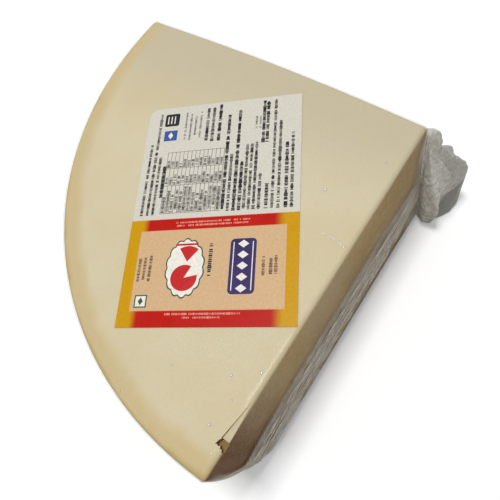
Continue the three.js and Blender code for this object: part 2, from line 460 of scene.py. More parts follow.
paste_light = paint(214, 203, 173)
paste_warm = paint(209, 194, 158)
paste_painted_shade = paint(198, 186, 157)  # painted shade towards the back cut
# The cut colours below are partly the paste's own drier tone and partly painted shade, for the upright cuts
# stand in shade.
paste_dry_shaded = paint(197, 166, 111)
paste_brown_shaded = paint(118, 75, 31)  # on the cuts, towards the rind, and lower down as painted shade
rind_inner = paint(204, 184, 140)
rind_outer = paint(186, 165, 106)
rind_cut_shaded = paint(112, 60, 22)  # where the upright cuts lay it bare: a dry brown of its own, made darker as painted shade on these upright faces
crystal_white = paint(238, 228, 200)
notch_olive = paint(146, 118, 66)
rind_thickness = 7 * mm
rind_fade = 9 * mm
sunk_depths = (2.4 * mm, 3.6 * mm)  # below the level cut, where the break's floor turns from the fresh paste to the darker colour of the cuts

cheese_finish, tree = new_finish("hard_cheese")
place = add_node(tree, "ShaderNodeTexCoord").outputs["Object"]
axis_place = (cuts_meet.x + wheel_axis.x, cuts_meet.y + wheel_axis.y, 0)
from_axis = add_node(
    tree, "ShaderNodeVectorMath", {0: place, 1: axis_place}, operation="SUBTRACT"
).outputs[0]
apart = add_node(tree, "ShaderNodeSeparateXYZ", {0: from_axis})
ground = add_node(tree, "ShaderNodeCombineXYZ", {0: apart.outputs[0], 1: apart.outputs[1]})
radius = add_node(tree, "ShaderNodeVectorMath", {0: ground.outputs[0]}, operation="LENGTH").outputs["Value"]
height = apart.outputs[2]
height_share = reckon(tree, "DIVIDE", height, heel_height)
above_heel = reckon(tree, "MAXIMUM", reckon(tree, "SUBTRACT", 1.0, height_share), 0.0)
heel = reckon(tree, "MULTIPLY", reckon(tree, "POWER", above_heel, heel_power), heel_depth)
rim_here = reckon(tree, "SUBTRACT", wheel_radius - film_gap, heel)
under_rim = reckon(tree, "SUBTRACT", rim_here, radius)
wander = stretch(tree, clouds(tree, place, 45.0), 0.3, 0.7, -2 * mm, 2 * mm, "LINEAR")
under_rind = reckon(tree, "ADD", reckon(tree, "MINIMUM", under_rim, height), wander)
rind_share = stretch(tree, under_rind, rind_thickness, rind_thickness + rind_fade, 1.0, 0.0)
outer_share = stretch(tree, under_rind, 0.0, 4.5 * mm, 1.0, 0.0)

patches = stretch(tree, clouds(tree, place, 16.0, 3.0), 0.25, 0.75)
grains = stretch(tree, clouds(tree, place, 900.0, 4.0), 0.4, 0.6)
paste = mix_colours(tree, patches, paste_light, paste_warm)
paste = mix_colours(tree, reckon(tree, "MULTIPLY", grains, 0.15), paste, paste_warm)
# Painted shade: the paste darkens towards the back cut.
paste = mix_colours(tree, stretch(tree, apart.outputs[0], -58 * mm, 10 * mm), paste, paste_painted_shade)
cells = add_node(tree, "ShaderNodeTexVoronoi", {"Vector": place, "Scale": 420.0})
specks = stretch(tree, cells.outputs["Distance"], 0.10, 0.20, 1.0, 0.0)
crystal_patches = stretch(tree, clouds(tree, place, 60.0), 0.52, 0.62)
crystals = reckon(tree, "MULTIPLY", reckon(tree, "MULTIPLY", specks, crystal_patches), 0.18)
paste = mix_colours(tree, crystals, paste, crystal_white)
normal = add_node(tree, "ShaderNodeNewGeometry").outputs["Normal"]
facing = add_node(tree, "ShaderNodeSeparateXYZ", {0: normal}).outputs[2]
# Painted shade: faces that turn upright, and the break's floor, take the darker cut colour.
upright = stretch(tree, reckon(tree, "ABSOLUTE", facing), 0.0, 0.75, 1.0, 0.0)
sunk = stretch(tree, height, wedge_height - sunk_depths[1], wedge_height - sunk_depths[0], 1.0, 0.0)
bared = reckon(tree, "MAXIMUM", upright, sunk)
dryness_and_shade = stretch(tree, clouds(tree, place, 24.0, 3.0), 0.3, 0.7, 0.68, 0.98)
# The cut colour browns towards the rim, the paste's own tone near the rind, and towards the apex; its
# darkening lower down is painted shade.
towards_rim = stretch(tree, under_rim, 12 * mm, 80 * mm, 1.0, 0.0)
towards_apex = stretch(tree, apart.outputs[0], -70 * mm, 0.0, 0.0, 0.25)
shade_lower_down = stretch(tree, height, 45 * mm, 98 * mm, 0.42, 0.0)
browned_and_shaded = reckon(tree, "MAXIMUM", towards_rim, reckon(tree, "MAXIMUM", towards_apex, shade_lower_down))
mottling = stretch(tree, clouds(tree, place, 450.0, 5.0), 0.3, 0.7, -0.16, 0.16, "LINEAR")
browned_and_shaded = reckon(tree, "ADD", browned_and_shaded, mottling, clamp=True)
paste_cut_shaded = mix_colours(tree, browned_and_shaded, paste_dry_shaded, paste_brown_shaded)
dried_and_shaded = reckon(tree, "MULTIPLY", bared, reckon(tree, "MAXIMUM", dryness_and_shade, towards_rim))
paste = mix_colours(tree, dried_and_shaded, paste, paste_cut_shaded)
outward = add_node(tree, "ShaderNodeVectorMath", {0: ground.outputs[0]}, operation="NORMALIZE").outputs[0]
faces_out = add_node(
    tree, "ShaderNodeVectorMath", {0: outward, 1: normal}, operation="DOT_PRODUCT"
).outputs["Value"]
off_rim = reckon(
    tree,
    "MAXIMUM",
    stretch(tree, faces_out, 0.62, 0.80, 1.0, 0.0),
    stretch(tree, under_rim, 3 * mm, 7 * mm),
)
on_cut = reckon(tree, "MULTIPLY", bared, off_rim)
# On the upright cuts the rind turns dark brown: its own dry colour, darkened further as painted shade.
rind = mix_colours(tree, reckon(tree, "MULTIPLY", outer_share, 0.75), rind_inner, rind_outer)
rind_brown = stretch(tree, under_rim, 6 * mm, 30 * mm, 0.9, 0.5)
rind = mix_colours(tree, reckon(tree, "MULTIPLY", on_cut, rind_brown), rind, rind_cut_shaded)
cheese_colour = mix_colours(tree, rind_share, paste, rind)
notch_floor_share = reckon(tree, "MULTIPLY", sunk, stretch(tree, facing, 0.5, 0.8))
cheese_colour = mix_colours(tree, notch_floor_share, cheese_colour, notch_olive)
pits = stretch(tree, clouds(tree, place, 1500.0, 3.0), 0.35, 0.65)
relief = reckon(tree, "ADD", pits, reckon(tree, "MULTIPLY", clouds(tree, place, 160.0, 4.0), 1.5))
bump = add_node(tree, "ShaderNodeBump", {"Strength": 0.35, "Distance": 0.15 * mm, "Height": relief})
gloss = stretch(tree, grains, 0.0, 1.0, 0.48, 0.62)
body = add_node(
    tree,
    "ShaderNodeBsdfPrincipled",
    {"Base Color": cheese_colour, "Roughness": gloss, "Normal": bump.outputs[0]},
)
body.inputs["Subsurface Weight"].default_value = 0.25
body.inputs["Subsurface Radius"].default_value = (1.0, 0.6, 0.3)
body.inputs["Subsurface Scale"].default_value = 3 * mm
body.inputs["Specular IOR Level"].default_value = 0.15
add_node(tree, "ShaderNodeOutputMaterial", {"Surface": body.outputs[0]})

add_piece("cheese", cheese_mesh, cheese_finish, "sealed_bag", math.radians(30))


# The film: a clear shrink bag of thin plastic, drawn tight over the cheese by the vacuum. It is one skin that
# bridges the chip and stands a little off the sides. Its slack lies in lengthwise pleats along both upright
# cuts, from the gathered end round to the heel.
fold_stations = [0, 60, 150, 178, 205, 240, 285]  # mm from the apex, where the heights below are taken
fold_upper = [48, 49, 48, 44, 38, 29, 16]
fold_lower = [21, 19, 14, 8, 5, 4, 4]
fold_stand = [2.2, 2.0, 2.0, 1.9, 1.9, 1.5, 0.2]
fold_crest = 2.2 * mm
band_ridges = 8
sway_length = 38 * mm  # how long the pleats' bends are
swell_length = 14 * mm  # and how far apart they grow and shrink
pleat_level_step = 0.5  # mm from one ring of the film to the next, across the pleats
brow_milk = 0.52  # the film is milky too for a little above the pleats, where it leaves the cut
brow_height = 7 * mm
brow_end = 205  # mm from the apex: from here on it fades
corner_milk = 0.6  # and where the cuts meet the rim, but for the top
corner_spread = 4 * mm
corner_fade = 16 * mm
mouth_milk = 0.75  # and where it runs into the gathered end, widest low down
mouth_spread = 13 * mm


def between(stations, values, at):
    """The value at a place between named stations, both in mm; the answer is in metres."""
    at = min(max(at / mm, stations[0]), stations[-1])
    k = max(i for i, station in enumerate(stations[:-1]) if station <= at)
    share = (at - stations[k]) / (stations[k + 1] - stations[k])
    share = share * share * (3 - 2 * share)
    return (values[k] + (values[k + 1] - values[k]) * share) * mm


def pleat_rise(seed, distance, height):
    """How far the slack film stands off a cut, at a distance from the apex and a height."""
    if distance > fold_stations[-1] * mm:
        return 0.0
    low, high = (between(fold_stations, side, distance) for side in (fold_lower, fold_upper))
    share = (height - low) / (high - low)
    if not 0 < share < 1:
        return 0.0
    sway = noise.noise(Vector((distance / sway_length, share * 2.5, seed)))
    wave = abs(math.sin(math.pi * (band_ridges * share + 0.9 * sway)))
    swell = 0.65 + 0.35 * noise.noise(Vector((distance / swell_length, share * 9, seed + 5)))
    crest = between(fold_stations, fold_stand, distance)
    return crest * swell * (0.25 + 0.75 * wave ** 0.7) * math.sin(math.pi * share) ** 0.5


def above_pleats(distance, height):
    """How milky the film is where it leaves the cut above the pleats."""
    above = height - between(fold_stations, fold_upper, distance)
    if above <= -brow_height:
        return 0.0
    gone = max(0.0, distance / mm - brow_end) / (fold_stations[-1] - brow_end)
    return brow_milk * (1 - min(1.0, gone)) * math.exp(-(max(0.0, above) / brow_height) ** 2)


def film_ring(height):
    """The film's outline at a height, and how slack it is at each of its points."""
    outline = plan_outline(wheel_radius - heel_inset(height), edge_inset(height))
    heel_corners = [rim_corner(cut, 0, wheel_radius - heel_inset(height)) for cut in (front_cut, back_cut)]
    below_top = min(1.0, max(0.0, (wedge_height - height) / corner_fade))
    count = len(outline)
    lengths = [(outline[(i + 1) % count] - outline[i]).length for i in range(count)]
    whole = sum(lengths)
    walked, ring, slack = 0.0, [], []
    for i, p in enumerate(outline):
        along = outline[(i + 1) % count] - outline[i - 1]
        out = Vector((along.y, -along.x)).normalized()
        on_back = walked < whole / 2
        distance = min(walked, whole - walked)
        rise = pleat_rise(21.0 if on_back else 1.0, distance, height)
        ring.append(Vector((*(cuts_meet + p + out * rise), height)))
        corner_slack = max(math.exp(-((p - corner).length / corner_spread) ** 2) for corner in heel_corners)
        mouth_slack = math.exp(-(distance / (mouth_spread * (1.25 - height / wedge_height))) ** 2)
        at_corner = max(corner_milk * corner_slack, mouth_milk * mouth_slack) * below_top
        slack.append(max((rise / fold_crest) ** 0.8, at_corner, above_pleats(distance, height)))
        walked += lengths[i]
    return ring, slack


slack_milk = paint(254, 247, 235)
clear_film = (0.98, 0.98, 0.98, 1.0)
edge_slants = (0.69, 0.86)  # the slant at which the veil begins to thicken, and at which it is thickest
lit_from_behind = 0.3  # the share of the veil's light that comes through it


def film_finish(name, tint, haze, edge_haze, crease_scale, crease_depth, mirror,
                slack_haze=0.0, taut_gloss=1.0, facets=0.0, mottle=0.0, painted_light_beside_pack=0.0):
    """Film: gloss over a milky veil that is weak face on, stronger edge on and strongest where it is slack.
    What the veil leaves free is see-through. Crumpled film has facets, is mottled, and is painted paler
    beside the pack, as painted light where it stands in shade."""
    finish, tree = new_finish(name)
    place = add_node(tree, "ShaderNodeTexCoord").outputs["Object"]
    creases = clouds(tree, place, crease_scale, 4.0)
    cells = add_node(tree, "ShaderNodeTexVoronoi", {"Vector": place, "Scale": crease_scale * 0.8})
    relief = reckon(tree, "ADD", creases, reckon(tree, "MULTIPLY", cells.outputs["Distance"], facets))
    bump = add_node(
        tree, "ShaderNodeBump", {"Strength": 0.5, "Distance": crease_depth, "Height": relief}
    ).outputs[0]
    slant = add_node(tree, "ShaderNodeLayerWeight", {"Blend": 0.35, "Normal": bump}).outputs["Facing"]
    edge_on = stretch(tree, slant, *edge_slants, haze, edge_haze)
    slack = add_node(tree, "ShaderNodeAttribute", attribute_name="slack").outputs["Fac"]
    smudges = stretch(tree, clouds(tree, place, crease_scale * 0.4), 0.35, 0.7, 0.7, 1.3)
    slack_veil = reckon(tree, "MULTIPLY", reckon(tree, "MULTIPLY", slack, slack_haze), smudges)
    veil = reckon(tree, "ADD", edge_on, slack_veil, clamp=True)
    milk = mix_colours(tree, stretch(tree, slack, 0.0, 0.3), tint, slack_milk)
    mottles = clouds(tree, place, crease_scale * 1.7, 4.0)
    depth = stretch(tree, mottles, 0.3, 0.7, 1 - mottle, 1 + mottle, "LINEAR")
    # Painted light: the film is made paler beside the pack, where it stands in the front cut's shade.
    across = add_node(tree, "ShaderNodeSeparateXYZ", {0: place}).outputs[0]
    from_pack = reckon(tree, "SUBTRACT", across, cuts_meet.x)
    depth = reckon(tree, "MULTIPLY", depth, stretch(tree, from_pack, 1 * mm, 9 * mm, 1 + painted_light_beside_pack, 1.0))
    milk = add_node(tree, "ShaderNodeHueSaturation", {"Value": depth, "Color": milk}).outputs[0]
    lit_front = add_node(tree, "ShaderNodeBsdfDiffuse", {"Color": milk, "Normal": bump}).outputs[0]
    lit_through = add_node(tree, "ShaderNodeBsdfTranslucent", {"Color": milk}).outputs[0]
    through = add_node(tree, "ShaderNodeBsdfTransparent", {"Color": clear_film}).outputs[0]
    sheet = mix_shaders(tree, veil, through, mix_shaders(tree, lit_from_behind, lit_front, lit_through))
    roughness = stretch(tree, creases, 0.3, 0.7, 0.08, 0.20)
    shine = add_node(tree, "ShaderNodeBsdfGlossy", {
        "Color": (1.0, 1.0, 1.0, 1.0), "Roughness": roughness, "Normal": bump,
    }).outputs[0]
    mirrored = add_node(tree, "ShaderNodeFresnel", {"IOR": mirror, "Normal": bump}).outputs[0]
    mirrored = reckon(tree, "MULTIPLY", mirrored, stretch(tree, slack, 0.0, 0.5, taut_gloss, 1.0))
    add_node(tree, "ShaderNodeOutputMaterial", {"Surface": mix_shaders(tree, mirrored, sheet, shine)})
    return finish


tight_film = film_finish(
    "tight_film", paint(106, 103, 92), haze=0.005, edge_haze=0.97, crease_scale=70.0, crease_depth=0.4 * mm,
    mirror=1.35, slack_haze=1.0, taut_gloss=0.12,
)
film_cap_steps = 30
pleat_levels = [level * pleat_level_step * mm for level in range(8, 104)]
film_levels = sorted({*wedge_levels(heel_steps=40), *pleat_levels})
film_rings, film_slack = zip(*(film_ring(height) for height in film_levels))
film_mesh = skin_over("film", list(film_rings), cap_steps=film_cap_steps)
slackness = film_mesh.attributes.new("slack", "FLOAT", "POINT")
cap_points = (film_cap_steps - 1) * len(film_rings[0])
for i, value in enumerate(value for ring in film_slack for value in ring):
    slackness.data[cap_points + i].value = value
add_piece("film", film_mesh, tight_film, "sealed_bag", math.radians(60))

# Air has raised small round blisters in it on the level cut, here in mm from where the upright cuts meet
blister_spots = [
    (-203.8, 4.6), (-160.9, 5.0), (-194.4, 12.8), (-179.2, 10.3), (-207.5, 62.5), (-84.5, 4.1),
    (-169.7, 17.2), (-182, 47), (-60, 30), (-31, 9), (-196, 88), (-118, 9),
]
blister_radius = 0.75 * mm
blister_rise = 0.3  # of the radius


def new_rule(name, sizes):
    """A Geometry Nodes tree that takes a mesh and named inputs, given as {name: socket kind}."""
    tree = bpy.data.node_groups.new(name, "GeometryNodeTree")
    tree.interface.new_socket("Paths", in_out="INPUT", socket_type="NodeSocketGeometry")
    for label, kind in sizes.items():
        tree.interface.new_socket(label, in_out="INPUT", socket_type=f"NodeSocket{kind}")
    tree.interface.new_socket("Pieces", in_out="OUTPUT", socket_type="NodeSocketGeometry")
    return tree, tree.nodes.new("NodeGroupInput").outputs


def finish_rule(tree, pieces, finish):
    """Ends a tree with real meshes that carry their material."""
    real = add_node(tree, "GeometryNodeRealizeInstances", {0: pieces})
    dressed = add_node(tree, "GeometryNodeSetMaterial", {"Geometry": real.outputs[0], "Material": finish})
    add_node(tree, "NodeGroupOutput", {0: dressed.outputs[0]})


def follow_rule(name, points, edges, tree, values):
    """Runs a tree on paths made of edges, and returns what it makes as a plain mesh."""
    paths = bpy.data.meshes.new(name)
    paths.from_pydata(points, edges, [])
    carrier = bpy.data.objects.new(name + "_paths", paths)
    bpy.context.collection.objects.link(carrier)
    modifier = carrier.modifiers.new(tree.name, "NODES")
    modifier.node_group = tree
    for socket in tree.interface.items_tree:
        if socket.in_out == "INPUT" and socket.name in values:
            modifier[socket.identifier] = values[socket.name]
    made = settle(carrier)
    bpy.data.objects.remove(carrier)
    return made


def blister_rule():
    """On each point sits a shallow round dome of film, each a little different in size."""
    tree, given = new_rule("blisters", {
        "Radius": "Float", "Rise": "Float", "Seed": "Int", "Finish": "Material",
    })
    spots = add_node(tree, "GeometryNodeMeshToPoints", {"Mesh": given["Paths"]})
    ball = add_node(tree, "GeometryNodeMeshIcoSphere", {"Radius": given["Radius"], "Subdivisions": 4})
    squash = add_node(tree, "ShaderNodeCombineXYZ", {0: 1.0, 1: 1.0, 2: given["Rise"]})
    dome = add_node(tree, "GeometryNodeTransform", {"Geometry": ball.outputs[0], "Scale": squash.outputs[0]})
    grow = add_node(tree, "FunctionNodeRandomValue", {"Seed": given["Seed"], 2: 0.55, 3: 1.2})
    domes = add_node(tree, "GeometryNodeInstanceOnPoints", {
        "Points": spots.outputs[0], "Instance": dome.outputs[0], "Scale": grow.outputs[1],
    })
    finish_rule(tree, domes.outputs[0], given["Finish"])
    return tree


def on_level_cut(spots):
    """Points of the level cut, from places in mm from the edge where the upright cuts meet."""
    return [Vector((*(cuts_meet + Vector(spot) * mm), wedge_height)) for spot in spots]


# The blisters' film carries a white veil: a painted highlight on top of their real gloss, so that they show
# as glints.
blister_film_glint = film_finish(
    "blister_film_glint", paint(252, 250, 244), haze=0.4, edge_haze=0.45, crease_scale=70.0, crease_depth=0.02 * mm,
    mirror=1.7,
)
blister_mesh = follow_rule("film_blisters", on_level_cut(blister_spots), [], blister_rule(), {
    "Radius": blister_radius, "Rise": blister_rise, "Seed": 2, "Finish": blister_film_glint,
})
add_piece("film_blisters", blister_mesh, blister_film_glint, "sealed_bag", math.radians(80))


# The rolled folds: along the crests of the pleats the film has rolled up into flat cords of many layers. They
# are milky and hide most of what is behind them.
def beside_the_cut(cut, height, distance, stand):
    """The point `distance` from the apex along the bag's side at that height, and `stand` out of it."""
    rim_radius = wheel_radius - heel_inset(height)
    corner = rim_corner(cut, corner_radius, rim_radius - corner_radius)
    straight = corner.dot(cut.along)
    drawn = edge_inset(height)
    if distance < straight:
        bow = cut.bow * math.sin(math.pi * distance / straight)
        p = cut.along * distance + cut.out * (bow + stand - drawn)
        return Vector((*(cuts_meet + p), height))
    side = math.copysign(1, Matrix((cut.out, cut.along)).determinant())
    rim_bearing = math.atan2(*(corner - wheel_axis).yx)
    whole_turn = (side * (rim_bearing - cut.bearing)) % (2 * math.pi)
    turn = (distance - straight) / corner_radius
    if turn < whole_turn:
        bearing = cut.bearing + side * turn
        centre, reach = corner, corner_radius
    else:
        beyond = distance - straight - corner_radius * whole_turn
        bearing = rim_bearing + side * beyond / rim_radius
        centre, reach = wheel_axis, rim_radius
    p = centre + (reach + stand - drawn) * Vector((math.cos(bearing), math.sin(bearing)))
    return Vector((*(cuts_meet + p), height))


def turned_out(mesh):
    """The same mesh with doubles merged and every face pointing outwards."""
    shape = bmesh.new()
    shape.from_mesh(mesh)
    bmesh.ops.remove_doubles(shape, verts=shape.verts[:], dist=1e-7)
    bmesh.ops.recalc_face_normals(shape, faces=shape.faces[:])
    shape.to_mesh(mesh)
    shape.free()
    return mesh


def swept_sheet(name, sections):
    """A thin closed sheet through cross-sections that go once round it."""
    count = len(sections[0])
    points = [p for section in sections for p in section]
    faces = []
    for row in range(len(sections) - 1):
        for i in range(count):
            a, b = row * count + i, row * count + (i + 1) % count
            faces.append((a, b, b + count, a + count))
    half = count // 2
    for start in (0, (len(sections) - 1) * count):
        for i in range(half - 1):
            a, b = start + i, start + i + 1
            faces.append((a, b, start + count - 2 - i, start + count - 1 - i))
    mesh = bpy.data.meshes.new(name)
    mesh.from_pydata(points, [], faces)
    return turned_out(mesh)


def rolled_fold_rule():
    """Along each path runs a flattened roll of film that wanders a little and thins out at its ends."""
    tree, given = new_rule("rolled_folds", {
        "Fold Depth": "Float", "Fold Width": "Float", "Wander": "Float", "Step": "Float", "Seed": "Float",
        "Finish": "Material",
    })
    curves = add_node(tree, "GeometryNodeMeshToCurve", {"Mesh": given["Paths"]})
    even = add_node(
        tree,
        "GeometryNodeResampleCurve",
        {"Curve": curves.outputs[0], "Length": given["Step"]},
        mode="LENGTH",
    )
    where = add_node(tree, "GeometryNodeInputPosition").outputs[0]
    drift = add_node(
        tree,
        "ShaderNodeTexNoise",
        {"Vector": where, "W": given["Seed"], "Scale": 110.0, "Detail": 1.0},
        noise_dimensions="4D",
    )
    centred = add_node(
        tree, "ShaderNodeVectorMath", {0: drift.outputs["Color"], 1: (0.5, 0.5, 0.5)}, operation="SUBTRACT"
    )
    moved = add_node(
        tree, "ShaderNodeVectorMath", {0: centred.outputs[0], "Scale": given["Wander"]}, operation="SCALE"
    )
    swayed = add_node(
        tree, "GeometryNodeSetPosition", {"Geometry": even.outputs[0], "Offset": moved.outputs[0]}
    )
    upright_normals = add_node(
        tree, "GeometryNodeSetCurveNormal", {"Curve": swayed.outputs[0]}, mode="Z_UP"
    )
    along = add_node(tree, "GeometryNodeSplineParameter").outputs["Factor"]
    from_end = reckon(tree, "MINIMUM", along, reckon(tree, "SUBTRACT", 1.0, along))
    taper = stretch(tree, from_end, 0.0, 0.12, 0.15, 1.0)
    pinch = stretch(tree, drift.outputs[0], 0.35, 0.65, 0.25, 1.25)
    section = add_node(tree, "GeometryNodeCurvePrimitiveCircle", {"Resolution": 10, "Radius": 1.0})
    sizes = add_node(tree, "ShaderNodeCombineXYZ", {0: given["Fold Depth"], 1: given["Fold Width"], 2: 1.0})
    flat_section = add_node(
        tree, "GeometryNodeTransform", {"Geometry": section.outputs[0], "Scale": sizes.outputs[0]}
    )
    rolls = add_node(tree, "GeometryNodeCurveToMesh", {
        "Curve": upright_normals.outputs[0],
        "Profile Curve": flat_section.outputs[0],
        "Scale": reckon(tree, "MULTIPLY", taper, pinch),
        "Fill Caps": True,
    })
    finish_rule(tree, rolls.outputs[0], given["Finish"])
    return tree


fold_count = 9
fold_depth = 0.34 * mm
fold_width = 1.1 * mm
fold_wander = 0.7 * mm
fold_step = 1.6 * mm
fold_starts = (0, 26)  # mm from the apex: a fold begins somewhere between these
fold_ends = (196, 262)  # and dies away somewhere between these
fold_path_step = 3 * mm
fold_places = (0.15, 0.85)  # where in its share of the pleats' height a fold may lie
fold_slope = 0.07  # how far it may drift up or down, as a share of that height
fold_swing = 55 * mm
fold_sink = 0.75  # it lies at this share of the crests' height
fold_unevenness = 0.1 * mm

rolled_film = film_finish(
    "rolled_film", paint(254, 246, 232), haze=0.55, edge_haze=0.95, crease_scale=320.0, crease_depth=0.3 * mm,
    mirror=1.45, mottle=0.12,
)
rolled_folds = rolled_fold_rule()
draw = random.Random(12)

for cut_name, cut, seed in (("front", front_cut, 1.0), ("back", back_cut, 21.0)):
    points, edges = [], []
    for fold in range(fold_count):
        share = (fold + draw.uniform(*fold_places)) / fold_count
        start = draw.uniform(*fold_starts) * mm
        end = draw.uniform(*fold_ends) * mm
        slope = draw.uniform(-fold_slope, fold_slope)
        steps = round((end - start) / fold_path_step)
        for i in range(steps + 1):
            distance = start + (end - start) * i / steps
            low, high = (between(fold_stations, side, distance) for side in (fold_lower, fold_upper))
            drifted = min(max(share + slope * math.sin(distance / fold_swing), 0.03), 0.97)
            stand = fold_sink * between(fold_stations, fold_stand, distance)
            stand += draw.uniform(-fold_unevenness, fold_unevenness)
            points.append(beside_the_cut(cut, low + (high - low) * drifted, distance, stand))
            if i:
                edges.append((len(points) - 2, len(points) - 1))
    folds = follow_rule(f"rolled_folds_{cut_name}", points, edges, rolled_folds, {
        "Fold Depth": fold_depth, "Fold Width": fold_width, "Wander": fold_wander, "Step": fold_step,
        "Seed": seed, "Finish": rolled_film,
    })
    add_piece(f"rolled_folds_{cut_name}", folds, rolled_film, "sealed_bag", math.radians(80))

# One short flat wrinkle of the same kind lies on the level cut, near its front edge
wrinkle_path = [(-83.9, 21.2), (-83.4, 16.6), (-83.7, 11.0), (-84.2, 6.0), (-85.0, 2.6)]
wrinkle_spread = 0.6 * mm
wrinkle_rise = 0.12 * mm
wrinkle_wander = 1.5 * mm
wrinkle_step = 0.8 * mm
wrinkle_edges = [(i, i + 1) for i in range(len(wrinkle_path) - 1)]
wrinkle = follow_rule("film_wrinkle", on_level_cut(wrinkle_path), wrinkle_edges, rolled_folds, {
    "Fold Depth": wrinkle_spread, "Fold Width": wrinkle_rise, "Wander": wrinkle_wander, "Step": wrinkle_step,
    "Seed": 5.0, "Finish": rolled_film,
})
add_piece("film_wrinkle", wrinkle, rolled_film, "sealed_bag", math.radians(80))


# The gathered end: the bag's mouth, drawn together at the edge where the two cuts meet and crumpled. It fans
# out of that edge in a few broad lobes, as one milky skin with straight sharp creases in random directions.
fan_folds = [  # bearing from +X, reach, width, height, fade above and below, all in degrees and mm
    {"bearing": -43, "reach": 8.5, "width": 54, "height": 80, "above": 20, "below": 23},
    {"bearing": -12, "reach": 29, "width": 42, "height": 40, "above": 26, "below": 17},
    {"bearing": -37, "reach": 31, "width": 29, "height": 29, "above": 41, "below": 16},
    {"bearing": -113, "reach": 16.5, "width": 42, "height": 25, "above": 45, "below": 40},
    {"bearing": -56, "reach": 18, "width": 51, "height": 37, "above": 34, "below": 38},
]
tail_core = 3 * mm
tail_top = 96 * mm
tail_dome = 7 * mm  # the height over which it closes at its top
crumple_count = 13
crumple_depth = 0.05
crumple_twist = 0.05 / mm
crease_waves = 30
crease_pitches = (2.4, 11)  # mm from crease to crease
crease_share = 1 / (16 * mm)  # wider waves weigh more
crumple_size = 1.1 * mm
crumple_bias = 0.35  # it bulges more than it sinks
tail_sides = 168
tail_levels = 124


def tail_reach(height, bearing):
    """How far the gathered film reaches at a height and in a direction."""
    reach = tail_core
    for fold in fan_folds:
        turn = (math.degrees(bearing) - fold["bearing"]) / fold["width"]
        above = height / mm - fold["height"]
        rise = above / (fold["above"] if above > 0 else fold["below"])
        reach = max(reach, fold["reach"] * mm * math.exp(-turn ** 2 - rise ** 2))
    towards_top = max(0.0, (height - (tail_top - tail_dome)) / tail_dome)
    dome = math.sqrt(max(0.02, 1 - towards_top ** 2))
    return reach * dome * (1 + crumple_depth * math.cos(crumple_count * bearing + crumple_twist * height))


draw = random.Random(7)
creases = []
for wave in range(crease_waves):
    slant = Vector((draw.gauss(0, 1), draw.gauss(0, 1), draw.gauss(0, 0.7))).normalized()
    creases.append((slant, draw.uniform(*crease_pitches) * mm, draw.random()))


def crumple(p):
    """Straight sharp creases in random directions, laid over each other: about -1 to 1."""
    total = 0.0
    for slant, pitch, phase in creases:
        swing = (p.dot(slant) / pitch + phase) % 1.0
        total += (4 * abs(swing - 0.5) - 1) * pitch * crease_share
    return total / math.sqrt(crease_waves)


def tail_point(height, bearing):
    """A point of the gathered film's crumpled skin."""
    reach = tail_reach(height, bearing)
    p = Vector((math.cos(bearing), math.sin(bearing))) * reach
    bump = (crumple(Vector((*p, height))) + crumple_bias) * crumple_size * min(1.0, reach / (9 * mm))
    p *= max(0.05, 1 + bump / max(reach, 1 * mm))
    return Vector((*(cuts_meet + p), height + 0.3 * bump * min(1.0, height / (12 * mm))))


tail_middle = (front_cut.bearing + back_cut.bearing) / 2
tail_rings = []
for level in range(tail_levels + 1):
    height = tail_top * level / tail_levels
    bearings = [tail_middle + math.pi * (2 * side / tail_sides - 1) for side in range(tail_sides)]
    tail_rings.append([tail_point(height, bearing) for bearing in bearings])
tail_mesh = turned_out(skin_over("gathered_skin", tail_rings))

# The gathered film's paler part beside the pack is painted light.
gathered_film = film_finish(
    "gathered_film", paint(209, 206, 197), haze=0.88, edge_haze=1.0, crease_scale=260.0,
    crease_depth=0.9 * mm, mirror=1.7, facets=1.4, mottle=0.2, painted_light_beside_pack=0.45,
)
add_piece("gathered_skin", tail_mesh, gathered_film, "sealed_bag", math.radians(14))

# Below the crumpled lobe a smooth flap of the bag's mouth hangs down to the table. Its top and foot are in mm
# from the foot of the edge where the upright cuts meet.
flap_top = [(6.0, -9.0, 30), (14.0, -15.0, 28), (21.0, -19.0, 26), (26.5, -19.5, 24)]
flap_foot = [(-5.5, -9.5, 1.0), (3.5, -16.0, 1.0), (9.0, -19.4, 1.5), (16.0, -20.6, 4)]
flap_steps = 24
flap_depth = 0.15 * mm
flap_wave = Vector((0.5, -0.7, 0)) * 0.5 * mm


def along_points(points, share):
    """A place on a line through points, from 0 at its start to 1 at its end, in metres."""
    at = share * (len(points) - 1)
    k = min(int(at), len(points) - 2)
    return Vector(points[k]).lerp(Vector(points[k + 1]), at - k) * mm


flap_sections = []
for row in range(flap_steps + 1):
    down = row / flap_steps
    outer, inner = [], []
    for step in range(flap_steps + 1):
        p = along_points(flap_top, step / flap_steps).lerp(along_points(flap_foot, step / flap_steps), down)
        p += Vector((*cuts_meet, 0))
        sway = flap_wave * noise.noise(Vector((step / 7, down * 2, 4)))
        outer.append(p + sway + Vector((0, -flap_depth, 0)))
        inner.append(p + sway)
    flap_sections.append(outer + inner[::-1])
# The flap's tint is darker than the gathered film's: painted shade, for it hangs under the lobe.
flap_film_shaded = film_finish(
    "flap_film_shaded", paint(186, 183, 175), haze=0.8, edge_haze=1.0, crease_scale=90.0, crease_depth=0.4 * mm,
    mirror=1.35,
)
flap_mesh = swept_sheet("gathered_flap", flap_sections)
add_piece("gathered_flap", flap_mesh, flap_film_shaded, "sealed_bag", math.radians(50))


# The label: coated white paper, printed all over in two halves and stuck on the film. One corner is rounded.
# The coloured half has red bands that run out into yellow, round a peach field; the other half is white.
label_length = 145 * mm
label_width = 99 * mm
label_centre = Vector((-96.2, 81.8)) * mm
label_turn = math.radians(31.1)
label_round = 6 * mm
paper_depth = 0.12 * mm

label_along = Vector((math.cos(label_turn), math.sin(label_turn)))
label_across = Vector((math.sin(label_turn), -math.cos(label_turn)))
label_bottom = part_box("label")[0].z


